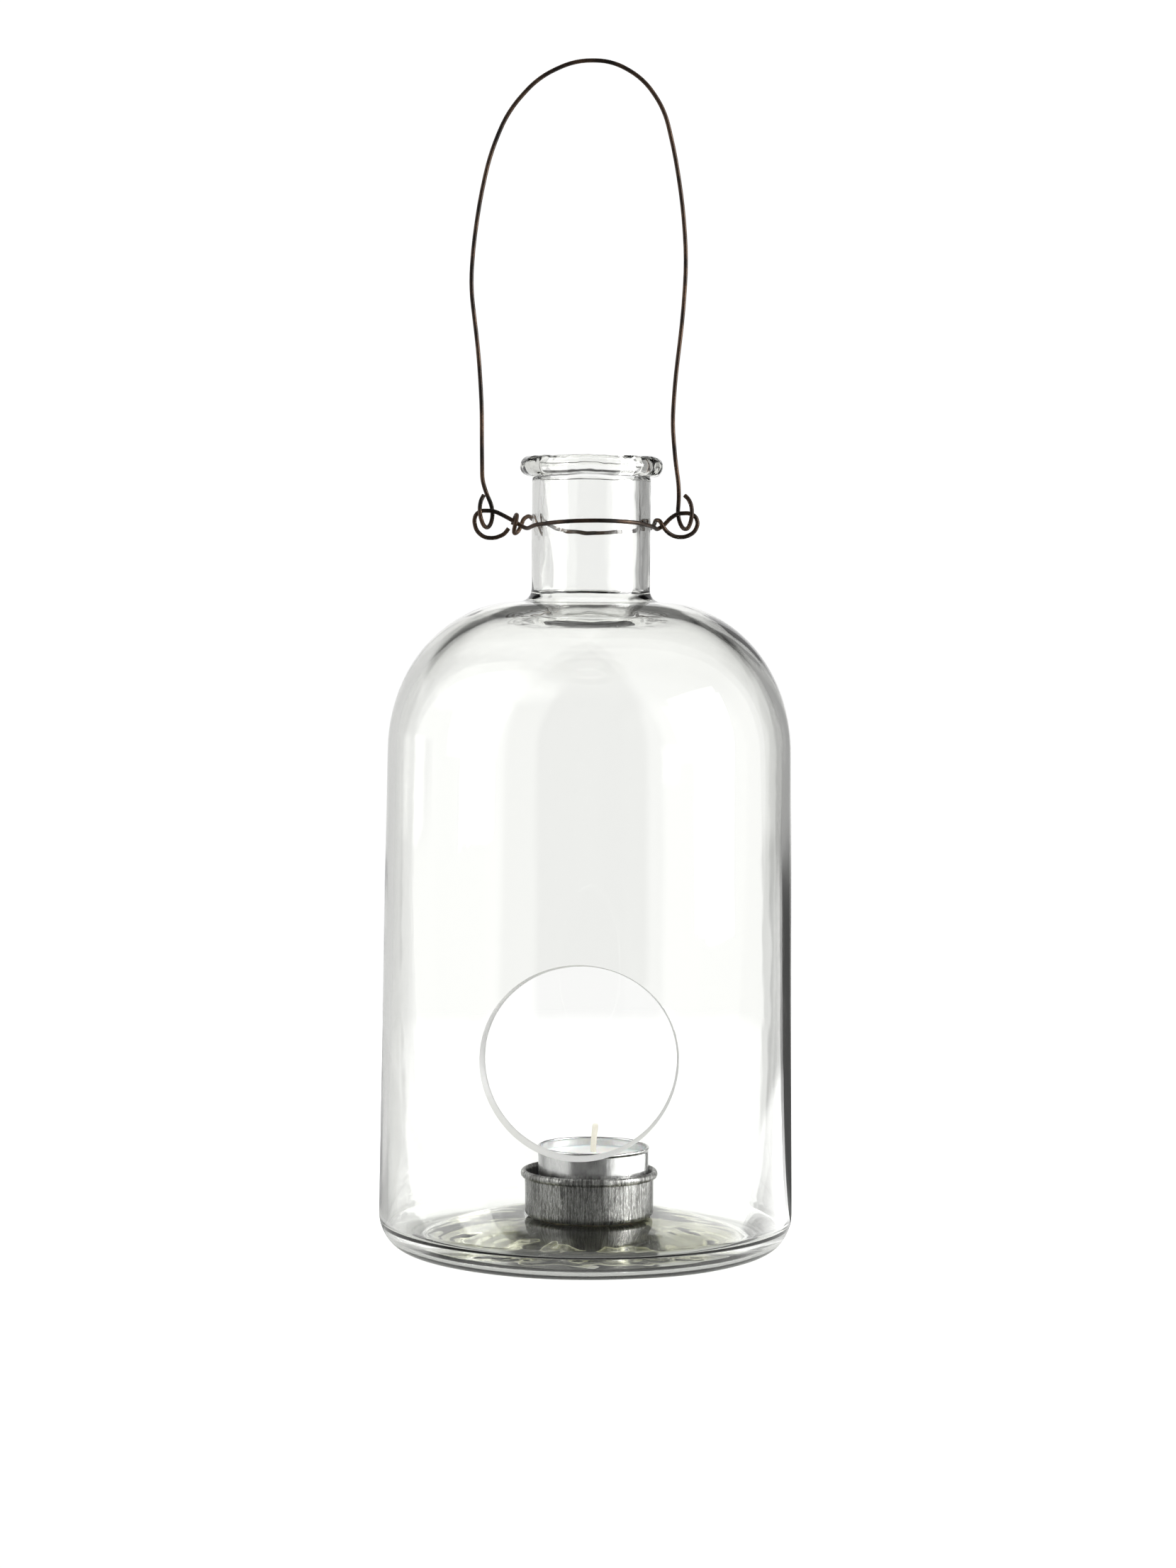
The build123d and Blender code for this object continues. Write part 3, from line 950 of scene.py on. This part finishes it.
def back_share(nodes, links, x, y, hangs, side):
    """The back's cloth and left wall. hangs is 0 where the cloth lies and 1 where it hangs."""
    from_left = bearing_from_back(nodes, links, x, y, -side)
    from_right = bearing_from_back(nodes, links, x, y, side)
    low, high, share = LEFT_WALL
    parts = [wedge(nodes, links, from_left, low, high, 1.5, share)]
    for bearing, lying, hanging in CLOTH:
        inside = ramp(nodes, links, hangs, 0.0, 1.0, lying, hanging)
        parts.append(wedge(nodes, links, from_right, bearing, CLOTH_END, 1.0, inside))
    hung = ramp(nodes, links, hangs, 0.0, 1.0, 1.0, CLOTH_HUNG_REST)
    parts.append(wedge(nodes, links, from_right, CLOTH_END + 1, CLOTH_HUNG_END, 1.0, hung))
    return product(nodes, links, *parts)


def for_mirrored(nodes, links, share):
    """Leaves a share to the rays that some surface has mirrored, and 1 to the rest."""
    path = nodes.new("ShaderNodeLightPath")
    mirrored = math_node(nodes, links, "GREATER_THAN", path.outputs["Glossy Depth"], 0.5)
    missing = math_node(nodes, links, "SUBTRACT", 1.0, share)
    return math_node(nodes, links, "SUBTRACT", 1.0, product(nodes, links, mirrored, missing))


def for_camera(nodes, links, share):
    """Keeps what the camera sees straight away white."""
    path = nodes.new("ShaderNodeLightPath")
    return math_node(nodes, links, "MAXIMUM", share, path.outputs["Is Camera Ray"])


def front_share(nodes, links, x, y):
    """The dark end of the studio, in front."""
    low, high, share = FRONT
    before = bearing_from_front(nodes, links, x, y)
    return for_mirrored(nodes, links, wedge(nodes, links, before, low, high, 6, share))


def painted_near_share(nodes, links, x, y, from_middle):
    """Light and shade painted on the paper near the lantern by side, as its metals mirror it."""
    before = bearing_from_front(nodes, links, x, y)
    glow = ramp(
        nodes, links, from_middle, NEAR_RIGHT_FROM, NEAR_RIGHT_FULL, 1.0, NEAR_RIGHT_GLOW
    )
    right = wedge(nodes, links, before, *NEAR_RIGHT, glow)
    middle = wedge(nodes, links, before, *NEAR_MIDDLE)
    left = wedge(nodes, links, before, *NEAR_LEFT)
    return for_mirrored(nodes, links, product(nodes, links, right, middle, left))


def build_world():
    world = bpy.data.worlds.new("studio")
    world.use_nodes = True
    nodes, links = world.node_tree.nodes, world.node_tree.links
    background = nodes["Background"]
    direction = nodes.new("ShaderNodeTexCoord").outputs["Generated"]
    x, y, z = split_place(nodes, links, direction)
    hangs = nodes.new("ShaderNodeValue").outputs[0]
    hangs.default_value = 1.0
    backdrop_top = wedge(nodes, links, z, 0.42, 0.56, 0.09, CEILING)
    behind = bearing_from_back(nodes, links, x, y, 0.0)
    total = product(
        nodes,
        links,
        ramp(nodes, links, z, 0.42, 0.62, 1.0, OVERHEAD),
        front_share(nodes, links, x, y),
        back_share(nodes, links, x, y, hangs, 0.0),
        wedge(nodes, links, behind, -50, 50, 10, backdrop_top),
    )
    links.new(for_camera(nodes, links, total), background.inputs["Color"])
    background.inputs["Strength"].default_value = WHITE
    bpy.context.scene.world = world


def distance_on_floor(nodes, links, place, centre_y):
    """How far a point of the floor is from (0, centre_y), in metres."""
    away = nodes.new("ShaderNodeVectorMath")
    away.operation = "DISTANCE"
    links.new(place, away.inputs[0])
    away.inputs[1].default_value = (0, centre_y, 0)
    return away.outputs["Value"]


def mixed(nodes, links, share, low, high):
    """From low to high by share. Each is a socket or a number."""
    mix = nodes.new("ShaderNodeMix")
    links.new(share, mix.inputs[0])
    for socket, value in ((mix.inputs[2], low), (mix.inputs[3], high)):
        if isinstance(value, (int, float)):
            socket.default_value = value
        else:
            links.new(value, socket)
    return mix.outputs[0]


def painted_shadow_share(nodes, links, x, from_middle):
    """A painted shadow: the dark patch that shows through the glass floor, and the contact shadow
    round the foot.
    """
    cup_right = CUP_X + CUP_R
    cup_left = CUP_X - CUP_R
    below = ramp(nodes, links, from_middle, 0.057, 0.054)
    beside = ramp(
        nodes, links, x, (cup_right - 0.5) * MM, (cup_right + 1.5) * MM, 1.0, SHADOW_PATCH_BESIDE
    )
    left = ramp(nodes, links, x, (cup_left - 9) * MM, (cup_left + 1) * MM, SHADOW_PATCH_LEFT, 1.0)
    shade = product(nodes, links, below, beside, left)
    patch = ramp(nodes, links, shade, 0.0, 1.0, 1.0, PAINTED_SHADOW_UNDER_GLASS)
    rim = ramp(nodes, links, from_middle, 0.065, 0.073, RIM_SHADE, 1.0)
    return product(nodes, links, patch, rim)


def floor_material():
    """White paper: it catches soft shadow near the lantern, has a shadow painted round its foot and
    under the glass and light and shade painted by side near it, and further off is like the walls.
    """
    material, nodes, links = new_material("floor_paper")
    paper, out = new_shader(nodes, links, Roughness=1.0, Specular_IOR_Level=0.0)
    wall = nodes.new("ShaderNodeEmission")
    wall.inputs["Strength"].default_value = WHITE
    place = object_place(nodes)
    x, y, _ = split_place(nodes, links, place)
    from_middle = distance_on_floor(nodes, links, place, 0)
    hangs = ramp(nodes, links, from_middle, 1.0, 2.6)

    # Light and shade painted on the paper near the lantern by side, for the metals to mirror.
    outside = ramp(nodes, links, from_middle, 0.064, 0.07)
    painted_by_side = mixed(nodes, links, outside, 1.0, painted_near_share(nodes, links, x, y, from_middle))
    close = back_share(nodes, links, x, y, hangs, CLOTH_SIDE_CLOSE)
    under = painted_shadow_share(nodes, links, x, from_middle)
    seen = nodes.new("ShaderNodeLightPath").outputs["Is Camera Ray"]
    # The camera sees only the painted shadow; other rays also get the painted light and shade by side
    # and the cloth.
    lit = mixed(nodes, links, seen, product(nodes, links, painted_by_side, close, under), under)
    glow = ramp(nodes, links, seen, 0, 1, PAPER_GLOW_ELSEWHERE, PAPER_GLOW)
    links.new(product(nodes, links, lit, PAPER), paper.inputs["Base Color"])
    links.new(lit, paper.inputs["Emission Color"])
    links.new(glow, paper.inputs["Emission Strength"])

    back = back_share(nodes, links, x, y, hangs, CLOTH_SIDE)
    both = product(nodes, links, back, front_share(nodes, links, x, y))
    links.new(for_camera(nodes, links, both), wall.inputs["Color"])

    mix = nodes.new("ShaderNodeMixShader")
    far = distance_on_floor(nodes, links, place, 0.25)
    links.new(ramp(nodes, links, far, 0.35, 0.42), mix.inputs[0])
    links.new(paper.outputs[0], mix.inputs[1])
    links.new(wall.outputs[0], mix.inputs[2])
    links.new(mix.outputs[0], out.inputs["Surface"])
    return material


def build_lamps():
    foot = (0, 0, 0.1)
    area_light("softbox_left", (-1.6, -0.6, 0.7), foot, (1.1, 1.2), 5)
    area_light("softbox_right", (1.6, -0.6, 0.7), foot, (1.1, 1.2), 8)
    strip = area_light("strip_right", (1.1, -0.3, 0.4), foot, (0.55, 0.8), 14)
    strip.visible_diffuse = False
    overhead = area_light("overhead", (0.1, 0.1, 1.3), (0, 0, 0), (0.9, 0.9), 7.8)
    fill = area_light("front_fill", (-0.3, -1.4, 0.5), foot, (0.8, 0.8), 4)
    for lamp in (overhead, fill):
        lamp.visible_glossy = False
        lamp.visible_transmission = False


def build_camera():
    data = bpy.data.cameras.new("camera")
    data.lens = 79.83
    data.sensor_width = 36.0
    data.clip_start = 0.05
    camera = bpy.data.objects.new("camera", data)
    camera.location = (-0.00085, -1.158, 0.2173)
    camera.rotation_euler = Euler((math.radians(90 - 3.07), math.radians(-0.5), 0), "XYZ")
    bpy.context.scene.collection.objects.link(camera)
    bpy.context.scene.camera = camera


def build_lantern():
    glass = [glass_material("clear_glass", False), glass_material("ground_glass", True)]
    zinc = [galvanised_material()]
    glue = [glue_material()]
    foil = [aluminium_material()]
    wax = [wax_material()]
    cotton = [cotton_material()]
    for name, mesh, body, slot, materials, node in (
        ("bottle_glass", glass_bottle_mesh(), "lantern", "clear_glass", glass, "glass_bottle"),
        ("galvanised_cup", candle_cup_mesh(), "lantern", "galvanised_sheet", zinc, "candle_cup"),
        ("glue_blob", glue_mesh(), "lantern", "clear_glue", glue, "glue_pad"),
        ("foil_cup", tealight_cup_mesh(), "tealight", "aluminium_foil", foil, "tealight_cup"),
        ("white_wax", wax_mesh(), "tealight", "wax", wax, "tealight_wax"),
        ("cotton_wick", wick_mesh(), "tealight", "cotton", cotton, "tealight_wick"),
    ):
        add_piece(name, mesh, body, materials, node)
    iron = iron_material()
    tin = tin_material()
    for node, material in (("neck_wire", iron), ("bail_wire", iron), ("wick_sustainer", tin)):
        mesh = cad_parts[node].data
        mesh.materials.clear()
        mesh.materials.append(material)


build_camera()
build_world()
build_floor()
build_lamps()
build_lantern()
bpy.context.scene.view_settings.view_transform = "Standard"
